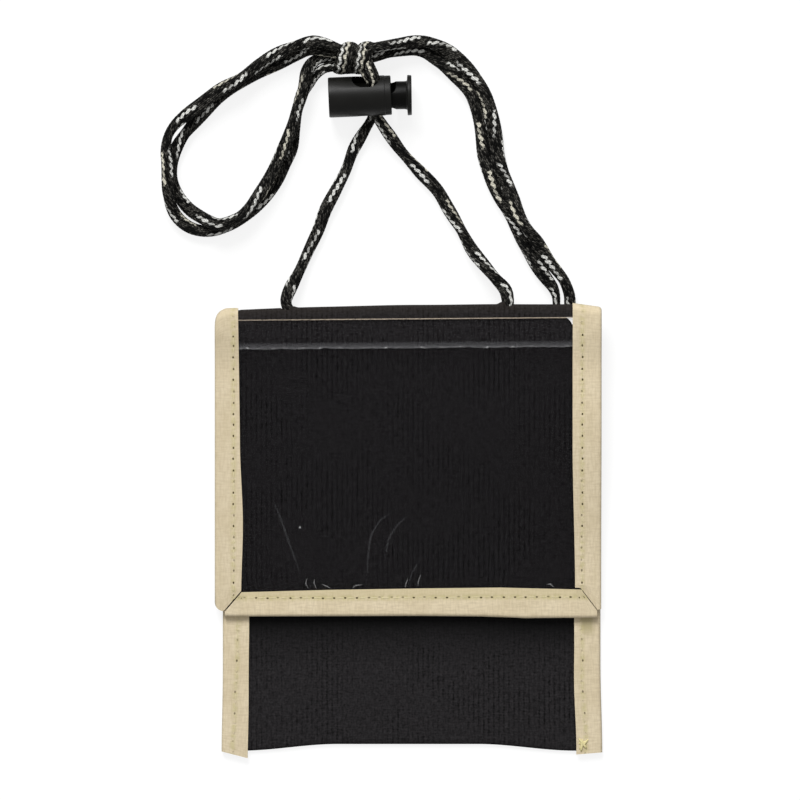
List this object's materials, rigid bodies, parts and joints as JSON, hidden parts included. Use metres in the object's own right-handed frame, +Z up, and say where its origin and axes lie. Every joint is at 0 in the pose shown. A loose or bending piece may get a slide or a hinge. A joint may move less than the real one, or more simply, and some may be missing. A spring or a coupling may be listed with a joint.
{
  "type": "neck wallet",
  "caption": "Flat fabric neck wallet with a window flap that lifts, a pocket behind it, and a neck cord run through the top fold, a spring cord lock and a knot.",
  "frame": {"origin": "middle of the pouch's bounding box without the cord, on the table it lies on", "axes": "+X to the picture's right along the pouch's width, +Y up the pouch towards its top fold and the cord, +Z up from the table through the pouch's thickness"},
  "size_m": [0.1447, 0.2373, 0.0132],
  "materials": {
    "black_fabric": "fine black canvas",
    "tan_binding": "woven tan edge tape",
    "clear_vinyl": "clear soft sheet",
    "cord": "knitted black cord with pale tracer threads",
    "lock_plastic": "fine matte moulded",
    "spring_steel": "plain wire",
    "hook_loop": "black hook and loop tape"
  },
  "bodies": {
    "pouch": {"back_panel": "black_fabric", "front_pocket_panel": "black_fabric", "body_binding_left": "tan_binding", "body_binding_right": "tan_binding", "loop_patch": "hook_loop", "cord_fold_run": "cord", "cord_leg_left": "cord", "cord_leg_right": "cord", "cord_loop_outer": "cord", "cord_loop_inner": "cord", "cord_neck_inner": "cord", "cord_neck_outer": "cord", "cord_bight": "cord", "cord_knot": "cord"},
    "flap": {"flap_panel": "black_fabric", "window_sheet": "clear_vinyl", "flap_binding_left": "tan_binding", "flap_binding_right": "tan_binding", "flap_binding_bottom": "tan_binding", "hook_patch": "hook_loop"},
    "cord_lock": {"lock_barrel": "lock_plastic", "lock_spring": "spring_steel"},
    "lock_plunger": {"lock_plunger": "lock_plastic"}
  },
  "joints": [
    {"name": "flap_hinge", "type": "hinge", "parent": "pouch", "child": "flap", "pos_m": [0, 0.06824, 0.0088], "axis": [-0.9992, 0, -0.0409], "range_deg": [0, 160]},
    {"name": "cord_lock_slide", "type": "slide", "parent": "pouch", "child": "cord_lock", "axis": [0, -1, 0], "range_m": [0, 0.045], "deforming": ["cord_leg_left", "cord_leg_right"]},
    {"name": "plunger_press", "type": "slide", "parent": "cord_lock", "child": "lock_plunger", "axis": [-0.9992, -0.0401, 0], "range_m": [0, 0.0043], "stiffness_N_per_m": 400, "springref_m": -0.005, "deforming": ["lock_spring"]}
  ]
}
